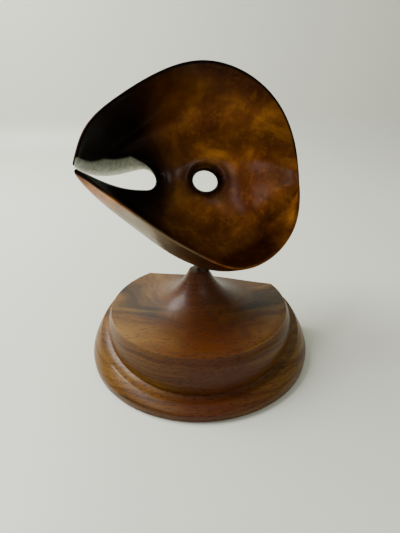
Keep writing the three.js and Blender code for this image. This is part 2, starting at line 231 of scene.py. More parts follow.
class Dish:
    """The dish's middle surface, for one set of opening sizes in millimetres."""

    def __init__(self, drop_end, drop_radius, eye_centre, eye_length, eye_height, drop_roll,
                 eye_roll, roll_angle):
        self.drop_end = drop_end
        self.drop_radius = drop_radius
        self.eye = (eye_centre, eye_length, eye_height)
        self.drop_column = column_at(drop_end)
        self.eye_columns = (column_at(eye_centre - eye_length), column_at(eye_centre + eye_length))
        self.roll_radii = (drop_roll, eye_roll)
        self.roll_angle = roll_angle

    def opening_half(self, along, drop_taper):
        """Half the height of the opening that a column crosses."""
        centre = self.drop_end - self.drop_radius
        if along < centre:
            tip = valley(0)[0]
            taper = max(0.0, (centre - along) / (centre - tip)) ** drop_taper
            return self.drop_radius * (1 + math.cos(math.pi * taper)) / 2
        if along < self.drop_end:
            return math.sqrt(max(0.0, self.drop_radius ** 2 - (along - centre) ** 2))
        eye_centre, eye_length, eye_height = self.eye
        eye = 1 - ((along - eye_centre) / eye_length) ** 2
        return eye_height * math.sqrt(eye) if eye > 0 else 0.0

    def controls(self, side, t):
        """The four control points of one column, from the valley out to the rim."""
        apart = side.rim(0) - valley(0)
        fade = max(0.0, 1 - t / self.drop_column) ** 2
        start = valley(t) + apart * fade
        rim = side.rim(t)
        reach = np.linalg.norm(rim - start) * COLUMN_HANDLE
        outward = rim[:2] - start[:2]
        outward = outward / max(np.linalg.norm(outward), TINY)
        slope = math.radians(side.slope(t))
        arrive = np.array([*(outward * math.cos(slope)), math.sin(slope)])
        return np.array([start, start + [0, side.sign * reach, 0], rim - arrive * reach, rim])

    def wall_start(self, side, t, controls):
        """How far along a column the wall begins, past the opening."""
        half = self.opening_half(valley(t)[0], side.taper)
        if half < SMALLEST_OPENING:
            return 0.0
        low, high = 0.0, OPENING_SHARE
        for _ in range(SEARCH_STEPS):
            middle = (low + high) / 2
            if abs(bezier(controls, np.array([middle]))[0, 1] - controls[0, 1]) < half:
                low = middle
            else:
                high = middle
        return low

    def places(self):
        """Every column from the pointed end to the right end, whether it starts on an opening,
        and whether both halves meet there."""
        eye_left, eye_right = self.eye_columns
        found = [(0.0, True, False)]

        def spread(start, end, count, opening):
            for i in range(1, count + 1):
                ease = (1 - math.cos(math.pi * i / count)) / 2
                found.append((start + (end - start) * ease, opening, not opening or i == count))

        spread(0, self.drop_column, DROP_COLUMNS, True)
        spread(self.drop_column, eye_left, BRIDGE_COLUMNS, False)
        found[-1] = (found[-1][0], True, True)
        spread(eye_left, eye_right, EYE_COLUMNS, True)
        spread(eye_right, 1, OPEN_COLUMNS, False)
        return found

    def borders(self, side):
        """The edges of the drop and of the eye on one side, as rows of points."""
        f = np.linspace(0, 1, BORDER_SAMPLES)
        eye_left, eye_right = self.eye_columns
        drop = self.drop_column * np.sin(f * math.pi / 2)
        eye = eye_left + (eye_right - eye_left) * (1 - np.cos(f * math.pi)) / 2
        found = []
        for columns in (drop, eye):
            edge = []
            for t in columns:
                controls = self.controls(side, t)
                edge.append(bezier(controls, np.array([self.wall_start(side, t, controls)]))[0])
            found.append(np.array(edge))
        return found

    def rolled(self, side, points, normals, lengths):
        """The wall rolled back round a soft lip along its openings."""
        shares = (smooth_curve(side.roll), lambda f: 1)
        for share, radius, edge in zip(shares, self.roll_radii, self.borders(side)):
            fullest = np.array([radius * share(f) for f in np.linspace(0, 1, len(edge) - 1)])
            for i, column in enumerate(points):
                nearest, along, piece = nearest_on(column, edge)
                bend = np.minimum(fullest[piece], LIP_SHARE * lengths[i] / self.roll_angle)[:, None]
                reach = bend * self.roll_angle
                away = column - nearest
                distance = np.linalg.norm(away, axis=1)
                beside = side.sign * np.cross(normals[i], along)
                on_border = distance < SMALLEST_OPENING / 2
                away = np.where(on_border[:, None], beside, away)
                away /= np.maximum(np.linalg.norm(away, axis=1), TINY)[:, None]
                rest = np.maximum(0, reach - distance[:, None])
                turn = rest / np.maximum(bend, TINY)
                points[i] = (column + away * (rest - bend * np.sin(turn))
                             - normals[i] * bend * (1 - np.cos(turn)))
                normals[i] = normals[i] * np.cos(turn) - away * np.sin(turn)
        return points, normals

    def half(self, side, places):
        """Points and normals of one half, a row for every column."""
        sizes, points, normals = [], [], []
        for t, _, _ in places:
            controls = self.controls(side, t)
            before = self.controls(side, max(0.0, t - NUDGE))
            after = self.controls(side, min(1.0, t + NUDGE))
            start = self.wall_start(side, t, controls)
            fine = start + (1 - start) * np.linspace(0, 1, MEASURE_SAMPLES)
            track = bezier(controls, fine)
            lengths = np.concatenate([[0], np.cumsum(np.linalg.norm(np.diff(track, axis=0), axis=1))])
            sizes.append(lengths[-1])
            v = np.interp(row_distances(lengths[-1]), lengths, fine)
            v[0] = start
            across = bezier_slope(controls, v)
            if start == 0:
                across[0] = (0, side.sign, 0)
            along = bezier(after, v) - bezier(before, v)
            normal = np.cross(along, across) * side.sign
            size = np.linalg.norm(normal, axis=1, keepdims=True)
            normals.append(normal / np.maximum(size, TINY))
            points.append(bezier(controls, v))
        return self.rolled(side, np.array(points), np.array(normals), np.array(sizes))


def nearest_on(points, path):
    """The nearest place on a path to each point, and the path's direction there."""
    start, step = path[:-1], np.diff(path, axis=0)
    size = np.maximum((step ** 2).sum(1), TINY)
    part = np.clip(((points[:, None] - start) * step).sum(2) / size, 0, 1)
    places = start + part[..., None] * step
    gap = ((points[:, None] - places) ** 2).sum(2)
    best = gap.argmin(1)
    return places[np.arange(len(points)), best], step[best] / np.sqrt(size[best])[:, None], best


def bezier(controls, v):
    v = v[:, None]
    w = 1 - v
    return (w ** 3 * controls[0] + 3 * w * w * v * controls[1]
            + 3 * w * v * v * controls[2] + v ** 3 * controls[3])


def bezier_slope(controls, v):
    v = v[:, None]
    w = 1 - v
    return (w * w * (controls[1] - controls[0]) + 2 * w * v * (controls[2] - controls[1])
            + v * v * (controls[3] - controls[2]))


def row_distances(length):
    """Distances along a column for its rows, close together near both edges."""
    band = min(EDGE_BAND, length / 4)
    ease = 1 - np.cos(np.linspace(0, math.pi / 2, EDGE_ROWS + 1))
    middle = np.linspace(band, length - band, PLAIN_ROWS + 1)[1:-1]
    return np.concatenate([band * ease, middle, length - band * ease[::-1]])


def dish_sheet(sizes):
    """The sheet object that the wall is grown on, with its edges and normals as attributes."""
    dish = Dish(*sizes)
    places = dish.places()
    upper, lower = (dish.half(side, places) for side in SIDES)
    columns, rows = upper[0].shape[:2]
    whole = np.array([meeting for _, _, meeting in places])
    lips = np.array([opening for _, opening, _ in places], dtype=float)
    edge = np.zeros((columns, rows))
    edge[0] = edge[-1] = edge[:, -1] = 1
    edge[:, 0] = np.maximum(edge[:, 0], lips)
    opening = np.zeros((columns, rows))
    opening[:, 0] = lips
    number = np.arange(2 * columns * rows).reshape(2, columns, rows)
    number[1, whole, 0] = number[0, whole, 0]
    number[:, 0] = number[:, 0, :1]
    number[:, -1] = number[0, -1, 0]
    faces = []
    for side, grid in zip(SIDES, number):
        a, b, c, d = grid[:-1, :-1], grid[1:, :-1], grid[1:, 1:], grid[:-1, 1:]
        corners = (a, b, c, d) if side.sign > 0 else (a, d, c, b)
        for quad in np.stack(corners, axis=-1).reshape(-1, 4).tolist():
            ring = [corner for i, corner in enumerate(quad) if corner != quad[i - 1]]
            if len(ring) > 2:
                faces.append(ring)
    used, faces = compacted(faces)
    points, normals = (np.concatenate([a.reshape(-1, 3), b.reshape(-1, 3)])[used]
                       for a, b in zip(upper, lower))
    edges, openings = (np.concatenate([a.ravel(), a.ravel()])[used] for a in (edge, opening))
    upper_half = (np.arange(2 * columns * rows) < columns * rows)[used]
    pose = (Matrix.Translation(Vector(VALLEY_CENTRE) * MM)
            @ Matrix.Rotation(math.radians(TURN), 4, "Z")
            @ Matrix.Rotation(math.radians(LEAN), 4, "X")
            @ Matrix.Rotation(math.radians(ROLL), 4, "Z"))
    turn = np.array(pose.to_3x3())
    sheet = object_of("dish_sheet", points * MM @ turn.T + np.array(pose.translation), faces)
    add_attribute(sheet, "wall_normal", "FLOAT_VECTOR", normals @ turn.T)
    add_attribute(sheet, "on_edge", "FLOAT", edges)
    add_attribute(sheet, "on_opening", "FLOAT", openings)
    add_attribute(sheet, "upper_half", "FLOAT", upper_half)
    return sheet


def compacted(faces):
    """The numbers of the points in use, and the faces renumbered to them."""
    used = sorted({corner for face in faces for corner in face})
    new = {old: i for i, old in enumerate(used)}
    return used, [[new[corner] for corner in face] for face in faces]


def named(tree, name, kind="FLOAT"):
    return tree.add("GeometryNodeInputNamedAttribute", {"Name": name}, data_type=kind).outputs[0]


def stored(tree, geometry, name, value):
    return tree.add("GeometryNodeStoreNamedAttribute",
                    {"Geometry": geometry, "Name": name, "Value": value},
                    data_type="FLOAT", domain="POINT").outputs[0]


def sampled(tree, geometry, value, index, kind="FLOAT"):
    return tree.add("GeometryNodeSampleIndex", {"Geometry": geometry, "Value": value, "Index": index},
                    data_type=kind, domain="POINT").outputs[0]


WALL_INPUTS = ("Wall", "Rim wall", "Rim taper", "Lip swell", "Lip reach", "Stem radius",
               "Stem bottom", "Stem length")


def wall_tree():
    """Grows the sheet into a wall, rounded at every edge, and stands it on its stem."""
    group, tree, source = geometry_tree("Dish wall", WALL_INPUTS)
    size = source.outputs
    sheet = size["Geometry"]
    neighbours = tree.add("GeometryNodeInputMeshEdgeNeighbors").outputs[0]
    border = tree.add("FunctionNodeCompare", {2: neighbours, 3: 1}, data_type="INT",
                      operation="EQUAL").outputs[0]
    opening = tree.add("FunctionNodeCompare", {0: named(tree, "on_opening"), 1: LIP_EDGE},
                       data_type="FLOAT", operation="GREATER_THAN").outputs[0]

    def distance_to(operation):
        edges = tree.add("FunctionNodeBooleanMath", {0: border, 1: opening}, operation=operation)
        part = tree.add("GeometryNodeSeparateGeometry",
                        {"Geometry": sheet, "Selection": edges}, domain="EDGE").outputs[0]
        reached = tree.add("GeometryNodeProximity", {0: part}, target_element="EDGES")
        return reached.outputs["Distance"]

    to_rim = distance_to("NIMPLY")
    to_lip = distance_to("AND")
    to_edge = tree.maths("MINIMUM", to_rim, to_lip)
    taper = tree.maths("EXPONENT",
                       tree.times(-1.0, tree.maths("DIVIDE", to_rim, size["Rim taper"])))
    thinner = tree.maths("SUBTRACT", size["Wall"], size["Rim wall"])
    wall = tree.maths("SUBTRACT", size["Wall"], tree.times(thinner, taper))
    ratio = tree.maths("DIVIDE", to_lip, size["Lip reach"])
    fade = tree.maths("EXPONENT", tree.times(ratio, ratio, -1.0))
    swell = tree.times(size["Lip swell"], fade)
    full = tree.times(tree.maths("ADD", wall, swell), 0.5)
    inset = tree.maths("SUBTRACT", 1.0, tree.maths("DIVIDE", to_edge, full), clamp=True)
    round_off = tree.maths("SQRT", tree.maths("SUBTRACT", 1.0, tree.times(inset, inset)))
    inner = tree.maths("SUBTRACT", 1.0, named(tree, "on_edge"), clamp=True)
    measured = sheet
    for name, value in (("edge_distance", to_edge), ("half_wall", tree.times(full, round_off, inner)),
                        ("lip_distance", to_lip)):
        measured = stored(tree, measured, name, value)
    normal = named(tree, "wall_normal", "FLOAT_VECTOR")

    def skin(sign, geometry):
        shift = tree.add("ShaderNodeVectorMath",
                         {0: normal, 3: tree.times(named(tree, "half_wall"), float(sign))},
                         operation="SCALE").outputs[0]
        moved = tree.add("GeometryNodeSetPosition", {"Geometry": geometry, "Offset": shift}).outputs[0]
        return stored(tree, moved, "inside", float(sign > 0))

    front = skin(1, measured)
    back = skin(-1, tree.add("GeometryNodeFlipFaces", {"Mesh": measured}).outputs[0])
    both = tree.add("GeometryNodeJoinGeometry")
    for geometry in (front, back):
        tree.tree.links.new(geometry, both.inputs[0])
    shell = tree.add("GeometryNodeMergeByDistance",
                     {"Geometry": both, "Distance": SKIN_MERGE}).outputs[0]
    rod = tree.add("GeometryNodeMeshCylinder",
                   {"Vertices": STEM_SIDES, "Radius": size["Stem radius"],
                    "Depth": size["Stem length"]}).outputs[0]
    lift = tree.maths("ADD", size["Stem bottom"], tree.times(size["Stem length"], 0.5))
    place = tree.add("ShaderNodeCombineXYZ", {"Z": lift}).outputs[0]
    rod = tree.add("GeometryNodeTransform", {"Geometry": rod, "Translation": place}).outputs[0]
    union = tree.add("GeometryNodeMeshBoolean", operation="UNION", solver="EXACT")
    for geometry in (shell, rod):
        tree.tree.links.new(geometry, union.inputs["Mesh 2"])
    # The union loses the shell's attributes, so they are taken from its nearest points again
    joined = union.outputs[0]
    nearest = tree.add("GeometryNodeSampleNearest", {"Geometry": shell}, domain="POINT").outputs[0]
    for name in ("edge_distance", "lip_distance", "inside", "upper_half"):
        joined = stored(tree, joined, name, sampled(tree, shell, named(tree, name), nearest))
    finish_tree(tree, source, joined)
    return group


# The turned base

FOOT_ROUND = 1.5
SKIRT_BOTTOM = 6
SKIRT_RADIUS = 100.3
SKIRT_TOP_RADIUS = 91.5
SKIRT_ROUNDNESS = 1.7
GROOVE_RADIUS = 84
GROOVE_DROP = 1.5
WALL_BULGE = 1.2
EDGE_RADIUS = 80.3
CONE_TOP_RADIUS = 8.8
CONE_EDGE = 0.4
CONE_SPREAD = 17
SOFT_EDGE_ANGLE = math.radians(-48)
SOFT_EDGE_NARROWNESS = 6.0
FOOT_ROWS, SKIRT_ROWS, LEDGE_ROWS, WALL_ROWS, CONE_ROWS, CAP_ROWS = 6, 17, 8, 17, 65, 5
UNDERSIDE_SHARE = 0.6
# Rows of the cone crowd toward the edge by this power
CONE_CROWDING = 1.3
TURNS = 192
TURN_MERGE = 2e-6
# How far round the groove's painted shade and round the edge their nearness reaches
SHADE_OFFSET, SHADE_REACH, EDGE_REACH = 1.5, 5, 4
BASE_SHARP, DISH_SHARP = math.radians(38), math.radians(60)


def near(distance, reach):
    return np.exp(-(distance / reach) ** 2)


def base_profile(foot, groove, edge_height, cone_height):
    """The turned outline in millimetres, as (radius, height, how far it follows the groove)."""
    points = [(0, 0, 0), (UNDERSIDE_SHARE * foot, 0, 0)]
    for angle in np.linspace(0, math.pi / 2, FOOT_ROWS):
        points.append((foot - FOOT_ROUND + FOOT_ROUND * math.sin(angle),
                       FOOT_ROUND - FOOT_ROUND * math.cos(angle), 0))
    top = groove - GROOVE_DROP
    for s in np.linspace(0, 1, SKIRT_ROWS):
        radius = SKIRT_RADIUS - (SKIRT_RADIUS - SKIRT_TOP_RADIUS) * s ** SKIRT_ROUNDNESS
        points.append((radius, SKIRT_BOTTOM + (top - SKIRT_BOTTOM) * s, s))
    for s in np.linspace(0, 1, LEDGE_ROWS)[1:]:
        radius = SKIRT_TOP_RADIUS + (GROOVE_RADIUS - SKIRT_TOP_RADIUS) * s
        points.append((radius, top + GROOVE_DROP * s ** 3, 1))
    for s in np.sin(np.linspace(0, math.pi / 2, WALL_ROWS))[1:]:
        bulge = WALL_BULGE * math.sin(s * math.pi)
        radius = GROOVE_RADIUS + (EDGE_RADIUS - GROOVE_RADIUS) * s + bulge
        points.append((radius, groove + (edge_height - groove) * s, 1 - s))
    shoulder = cone_height - CONE_EDGE
    far = math.exp(-(EDGE_RADIUS - CONE_TOP_RADIUS) / CONE_SPREAD)
    for s in np.linspace(0, 1, CONE_ROWS)[1:] ** CONE_CROWDING:
        radius = EDGE_RADIUS + (CONE_TOP_RADIUS - EDGE_RADIUS) * s
        fall = math.exp(-(radius - CONE_TOP_RADIUS) / CONE_SPREAD)
        points.append((radius, edge_height + (shoulder - edge_height) * (fall - far) / (1 - far), 0))
    for angle in np.linspace(0, math.pi / 2, CAP_ROWS)[1:]:
        points.append((CONE_TOP_RADIUS - 2 * CONE_EDGE * (1 - math.cos(angle)),
                       shoulder + CONE_EDGE * math.sin(angle), 0))
    points += [(CONE_TOP_RADIUS / 2, cone_height, 0), (0, cone_height, 0)]
    return np.array(points)


TURNING_INPUTS = ("Groove climb", "Groove wave", "Edge softness", "Cut distance", "Cut turn")


def turning_tree(rows):
    """Turns the outline round, lifts it to the climbing groove and cuts the back flat."""
    group, tree, source = geometry_tree("Turned base", (*TURNING_INPUTS, "Cut block"))
    size = source.outputs
    outline = size["Geometry"]
    grid = tree.add("GeometryNodeMeshGrid", {"Size X": 1.0, "Size Y": 1.0, "Vertices X": TURNS + 1,
                                             "Vertices Y": rows}).outputs[0]
    position = tree.add("GeometryNodeInputPosition").outputs[0]
    place = tree.add("ShaderNodeSeparateXYZ", {0: position})
    angle = tree.times(tree.maths("ADD", place.outputs[0], 0.5), 2 * math.pi)
    row = tree.times(tree.maths("ADD", place.outputs[1], 0.5), float(rows - 1))
    row = tree.maths("ROUND", row)
    point = sampled(tree, outline, position, row, "FLOAT_VECTOR")
    point = tree.add("ShaderNodeSeparateXYZ", {0: point})
    follow, by_edge, by_groove = (sampled(tree, outline, named(tree, name), row)
                                  for name in ("follows_groove", "edge_nearness", "groove_nearness"))
    sine = tree.maths("SINE", angle)
    climb = tree.times(sine, size["Groove climb"])
    double = tree.maths("COSINE", tree.times(angle, 2.0))
    wave = tree.times(double, size["Groove wave"])
    lift = tree.times(tree.maths("ADD", climb, wave), follow)
    off_centre = tree.maths("COSINE", tree.maths("SUBTRACT", angle, SOFT_EDGE_ANGLE))
    beside = tree.maths("POWER", tree.maths("MULTIPLY_ADD", off_centre, 0.5, 0.5),
                        SOFT_EDGE_NARROWNESS)
    soften = tree.times(by_edge, tree.times(beside, size["Edge softness"]))
    radius = tree.maths("SUBTRACT", point.outputs[0], soften)
    x = tree.times(radius, tree.maths("COSINE", angle))
    y = tree.times(radius, sine)
    z = tree.maths("SUBTRACT", tree.maths("ADD", point.outputs[2], lift), soften)
    where = tree.add("ShaderNodeCombineXYZ", {0: x, 1: y, 2: z}).outputs[0]
    turned = tree.add("GeometryNodeSetPosition", {"Geometry": grid, "Position": where}).outputs[0]
    turned = stored(tree, turned, "groove", by_groove)
    turned = tree.add("GeometryNodeMergeByDistance",
                      {"Geometry": turned, "Distance": TURN_MERGE}).outputs[0]
    width = size["Cut block"]
    cube = tree.add("ShaderNodeCombineXYZ", {0: width, 1: width, 2: width})
    block = tree.add("GeometryNodeMeshCube", {"Size": cube}).outputs[0]
    away = tree.maths("ADD", size["Cut distance"], tree.times(width, 0.5))
    block = tree.add("GeometryNodeTransform",
                     {"Geometry": block,
                      "Translation": tree.add("ShaderNodeCombineXYZ", {1: away})}).outputs[0]
    turn = tree.add("ShaderNodeCombineXYZ", {2: size["Cut turn"]}).outputs[0]
    block = tree.add("GeometryNodeTransform", {"Geometry": block, "Rotation": turn}).outputs[0]
    cut = tree.add("GeometryNodeMeshBoolean", {"Mesh 1": turned}, operation="DIFFERENCE",
                   solver="EXACT")
    tree.tree.links.new(block, cut.inputs["Mesh 2"])
    finish_tree(tree, source, cut.outputs[0])
    return group


# Finishes

# Bronze: noise scales per metre, ranges of a noise, and places in metres along X or Z
CLOUD_SCALE, CLOUD_STOPS = 24.0, (0.32, 0.5, 0.68)
WARM_SCALE, WARM_STRETCH, WARM_RANGE, WARMTH = 16.0, (1.0, 1.0, 0.7), (0.5, 0.66), 0.5
FLECK_SCALE, FLECK_RANGE, FLECK_STRENGTH = 160.0, (0.52, 0.72), 0.3
# Painted shade toward the pointed end of the inside
DARK_END, DARK_END_SHADE = (-0.055, 0.0), 0.95
# Painted shade round the openings, reaching furthest at the pointed end
HALO_REACH, HALO_FADE, HALO_SHADE = (0.055, 0.017), (0.15, 1.0), 0.97
# Painted shade along the top of the inside
TOP, TOP_SHADE = (0.195, 0.24), 0.75
# Painted reflection of the pale floor on the outside at the lower left
OUTSIDE_LEFT, OUTSIDE_LOW, OUTSIDE_REFLECTION = (-0.02, 0.02), (0.14, 0.155), 0.85
# Painted shade along the edge of the upper rim
RIM_LINE, RIM_HEIGHT, RIM_SHADE = (0.0012, 0.003), (0.15, 0.165), 0.9
# Painted reflection of the pale floor on the upper lips beside the openings: its width along X, its
# fade, its speckle and its metalness
LIP_RIGHT, LIP_RIGHT_WIDTH = (-0.062, -0.041), (0.0165, 0.001)
LIP_LEFT, LIP_LEFT_WIDTH, LIP_FADE = (-0.09, -0.078), (0.004, 0.0155), (0.88, 1.0)
SPECKLE_SCALE, SPECKLE_RANGE, SPECKLE_SHIFT, LIP_STOPS = 300.0, (0.3, 0.7), (-0.2, 0.2), (0.1, 0.9)
LIP_METAL = 0.15
BRONZE_SHEEN = {"Coat Weight": 0.1, "Coat IOR": 1.4, "Coat Roughness": 0.12}
ROUGH_SCALE, ROUGH_RANGE, BRONZE_ROUGHNESS = 60.0, (0.35, 0.65), (0.36, 0.48)
DENT_SCALE, SCRATCH_SCALE, SCRATCH_STRETCH, SCRATCH_SHARE = 90.0, 700.0, (1.0, 1.0, 0.25), 0.12
BRONZE_RELIEF = {"Strength": 0.25, "Distance": 0.0006}

# Wood: scales per metre along X, Y and Z, with the grain along X
SWAY_SCALE, SWAY, LAYER_TILT = (7.0, 16.0, 16.0), 0.02, 0.12
GRAIN_SCALE, STREAK_STOPS = (5.0, 8.0, 330.0), (0.28, 0.46, 0.72)
# A redder, darker band across the middle of X, broken up by noise
RED_BAND_PLACE, RED_BAND_SCALE, RED_BAND_NARROWNESS = 0.004, (12.0, 16.0, 16.0), 9.0
RED_BAND_RANGE, RED_BAND_STRENGTH = (-0.1, 0.35), 0.85
FIGURE_SCALE, FIGURE_RANGE = 0.45, (0.46, 0.6)
FIGURE_HEIGHT, FIGURE_FADE = 0.049, (0.001, 0.007)
FIGURE_SIDES, FIGURE_STRENGTH = (0.022, 0.045), (0.25, 1.0)
PORE_SCALE, PORE_RANGE, PORE_DEPTH = (190.0, 1100.0, 1100.0), (0.53, 0.62), 0.6
# Strength of the painted shade in the groove
GROOVE_SHADE = 0.8
STREAK_RANGE, WOOD_ROUGHNESS, STREAK_RELIEF = (0.3, 0.7), (0.42, 0.32), 0.35
WOOD_SHEEN = {"Specular IOR Level": 0.22, "Coat Weight": 0.1, "Coat Roughness": 0.2}
WOOD_RELIEF = {"Strength": 0.3, "Distance": 0.0004}


def new_material(name):
    material = bpy.data.materials.new(name)
    material.use_nodes = True
    return material, Tree(material.node_tree), material.node_tree.nodes["Principled BSDF"]


def ramp(tree, value, places, colours):
    node = tree.add("ShaderNodeValToRGB", {"Fac": value})
    elements = node.color_ramp.elements
    while len(elements) < len(places):
        elements.new(0.5)
    for element, place, colour in zip(elements, places, colours):
        element.position = place
        element.color = (*colour, 1)
    return node.outputs["Color"]


def mixed(tree, factor, a, b):
    """Colour a, with colour b laid over it by a factor."""
    node = tree.add("ShaderNodeMix", data_type="RGBA")
    tree.put(node.inputs["Factor"], factor)
    tree.put(node.inputs[6], a)
    tree.put(node.inputs[7], b if isinstance(b, bpy.types.NodeSocket) else (*b, 1))
    return node.outputs[2]


def noise(tree, place, scale, detail=4.0, roughness=0.55, distortion=0.0):
    return tree.add("ShaderNodeTexNoise", {"Vector": place, "Scale": scale, "Detail": detail,
                                           "Roughness": roughness, "Distortion": distortion}).outputs[0]


def levels(tree, value, spread, reach=(0.0, 1.0)):
    """A value that goes through reach while another goes through spread."""
    return tree.add("ShaderNodeMapRange", {0: value, 1: spread[0], 2: spread[1],
                                           3: reach[0], 4: reach[1]}).outputs[0]


def fading(tree, value, spread, strength=1.0):
    return levels(tree, value, spread, (strength, 0.0))


def stretched(tree, place, scale):
    return tree.add("ShaderNodeMapping", {"Vector": place, "Scale": scale}).outputs[0]


def attribute(tree, name):
    return tree.add("ShaderNodeAttribute", attribute_name=name).outputs["Fac"]


def object_place(tree):
    place = tree.add("ShaderNodeTexCoord").outputs["Object"]
    return place, tree.add("ShaderNodeSeparateXYZ", {0: place}).outputs


def lip_colour(tree, place, x, settings):
    """How far a painted reflection of the pale floor covers the upper lips beside the openings, and its
    speckled colour.
    """
    band = tree.maths("MINIMUM", levels(tree, x, LIP_RIGHT, LIP_RIGHT_WIDTH),
                      levels(tree, x, LIP_LEFT, LIP_LEFT_WIDTH))
    share = tree.maths("DIVIDE", attribute(tree, "lip_distance"), band)
    lip_reflection = tree.times(attribute(tree, "upper_half"), attribute(tree, "inside"),
                        fading(tree, share, LIP_FADE))
    speckle = levels(tree, noise(tree, place, SPECKLE_SCALE), SPECKLE_RANGE, SPECKLE_SHIFT)
    return lip_reflection, ramp(tree, tree.maths("ADD", share, speckle), LIP_STOPS,
                        (settings.lip_floor_reflection, settings.grey_lip))


def bronze_patina(settings):
    """Brown waxed patina, cloudy, with painted shade round the openings, toward the pointed end, along
    the top and along the upper rim, and a painted reflection of the pale floor on the upper lips and on
    the outside at the lower left.
    """
    material, tree, shader = new_material("Bronze patina")
    place, (x, _, z) = object_place(tree)
    colour = ramp(tree, noise(tree, place, CLOUD_SCALE, detail=6.0, roughness=0.6, distortion=0.4),
                  CLOUD_STOPS, (settings.dark_patina, settings.patina, settings.golden_patina))
    warm = noise(tree, stretched(tree, place, WARM_STRETCH), WARM_SCALE, detail=2.0)
    warm = levels(tree, warm, WARM_RANGE)
    colour = mixed(tree, tree.times(warm, WARMTH), colour, settings.red_patina)
    flecks = noise(tree, place, FLECK_SCALE, detail=3.0, roughness=0.6)
    flecks = levels(tree, flecks, FLECK_RANGE, (0.0, FLECK_STRENGTH))
    colour = mixed(tree, flecks, colour, settings.golden_patina)
    inside = attribute(tree, "inside")
    # Painted shade: black laid round the openings inside, reaching furthest at the pointed end
    reach = levels(tree, x, DARK_END, HALO_REACH)
    ratio = tree.maths("DIVIDE", attribute(tree, "lip_distance"), reach)
    halo = fading(tree, ratio, HALO_FADE, HALO_SHADE)
    colour = mixed(tree, tree.times(halo, inside), colour, settings.painted_shade)
    # Painted shade inside, darkest toward the pointed end and along the top
    shade = tree.maths("MAXIMUM", fading(tree, x, DARK_END, DARK_END_SHADE),
                       levels(tree, z, TOP, (0.0, TOP_SHADE)))
    colour = mixed(tree, tree.times(shade, inside), colour, settings.painted_shade)
    # Painted reflection of the pale floor on the outside at the lower left, where it faces the floor
    outside = tree.times(tree.maths("SUBTRACT", 1.0, inside), fading(tree, x, OUTSIDE_LEFT))
    outside_reflection = tree.times(outside, fading(tree, z, OUTSIDE_LOW), OUTSIDE_REFLECTION)
    colour = mixed(tree, outside_reflection, colour, settings.floor_reflection_outside)
    # Painted shade along the edge of the upper rim
    rim = fading(tree, attribute(tree, "edge_distance"), RIM_LINE, RIM_SHADE)
    rim = tree.times(rim, levels(tree, z, RIM_HEIGHT))
    colour = mixed(tree, rim, colour, settings.painted_shade)
    # Painted reflection of the pale floor on the upper lips, less metallic there
    lip_reflection, lips = lip_colour(tree, place, x, settings)
    scratches = noise(tree, stretched(tree, place, SCRATCH_STRETCH), SCRATCH_SCALE, detail=2.0)
    height = tree.maths("ADD", noise(tree, place, DENT_SCALE, detail=3.0),
                        tree.times(scratches, SCRATCH_SHARE))
    tree.fill(shader, {
        "Base Color": mixed(tree, lip_reflection, colour, lips),
        "Metallic": levels(tree, lip_reflection, (0.0, 1.0), (1.0, LIP_METAL)),
        "Roughness": levels(tree, noise(tree, place, ROUGH_SCALE), ROUGH_RANGE, BRONZE_ROUGHNESS),
        "Normal": tree.add("ShaderNodeBump", {"Height": height, **BRONZE_RELIEF}),
        **BRONZE_SHEEN})
    return material


def turned_wood(settings):
    """Oiled brown wood with its grain along X, dark figure, short pores and painted shade in the
    groove.
    """
    material, tree, shader = new_material("Turned wood")
    place, (x, y, z) = object_place(tree)
    sway = noise(tree, stretched(tree, place, SWAY_SCALE), 1.0, detail=2.0)
    layer = tree.maths("ADD", z, tree.times(sway, SWAY))
    layer = tree.maths("ADD", layer, tree.times(y, LAYER_TILT))
    grain = tree.add("ShaderNodeCombineXYZ", {
        i: tree.times(axis, scale) for i, (axis, scale) in enumerate(zip((x, y, layer), GRAIN_SCALE))
    }).outputs[0]
    streaks = noise(tree, grain, 1.0, detail=5.0, roughness=0.6)
    colour = ramp(tree, streaks, STREAK_STOPS, (settings.dark_wood, settings.wood, settings.pale_wood))
    # A redder, darker band across the middle of X, broken up by noise
    middle = tree.maths("ABSOLUTE", tree.maths("SUBTRACT", x, RED_BAND_PLACE))
    cloud = noise(tree, stretched(tree, place, RED_BAND_SCALE), 1.0, detail=2.0)
    reddish = tree.maths("SUBTRACT", cloud, tree.times(middle, RED_BAND_NARROWNESS))
    red = levels(tree, reddish, RED_BAND_RANGE, (0.0, RED_BAND_STRENGTH))
    colour = mixed(tree, red, colour, settings.red_wood)
    figure = levels(tree, noise(tree, grain, FIGURE_SCALE, detail=3.0), FIGURE_RANGE)
    height = tree.maths("ABSOLUTE", tree.maths("SUBTRACT", z, FIGURE_HEIGHT))
    figure = tree.times(figure, fading(tree, height, FIGURE_FADE),
                        levels(tree, middle, FIGURE_SIDES, FIGURE_STRENGTH))
    colour = mixed(tree, figure, colour, settings.dark_wood)
    pores = noise(tree, stretched(tree, place, PORE_SCALE), 1.0, detail=2.0, roughness=0.6)
    pore = levels(tree, pores, PORE_RANGE, (0.0, PORE_DEPTH))
    colour = mixed(tree, pore, colour, settings.dark_wood)
    # Painted shade: the dark line along the groove
    shade_in_groove = tree.times(attribute(tree, "groove"), GROOVE_SHADE)
    relief = tree.maths("SUBTRACT", tree.times(streaks, STREAK_RELIEF), pore)
    tree.fill(shader, {
        "Base Color": mixed(tree, shade_in_groove, colour, settings.groove_shade),
        "Roughness": levels(tree, streaks, STREAK_RANGE, WOOD_ROUGHNESS),
        "Normal": tree.add("ShaderNodeBump", {"Height": relief, **WOOD_RELIEF}),
        **WOOD_SHEEN})
    return material


def floor_material(colour):
    material, tree, shader = new_material("Pale floor")
    tree.fill(shader, {"Base Color": (*colour, 1), "Roughness": FLOOR_ROUGHNESS})
    return material


# Settings


def length(name, description, millimetres):
    return bpy.props.FloatProperty(name=name, description=description, default=millimetres * MM,
                                   unit="LENGTH", precision=4)


def tint(name, description, colour):
    return bpy.props.FloatVectorProperty(name=name, description=description, default=colour,
                                         subtype="COLOR", size=3, min=0.0, max=1.0)


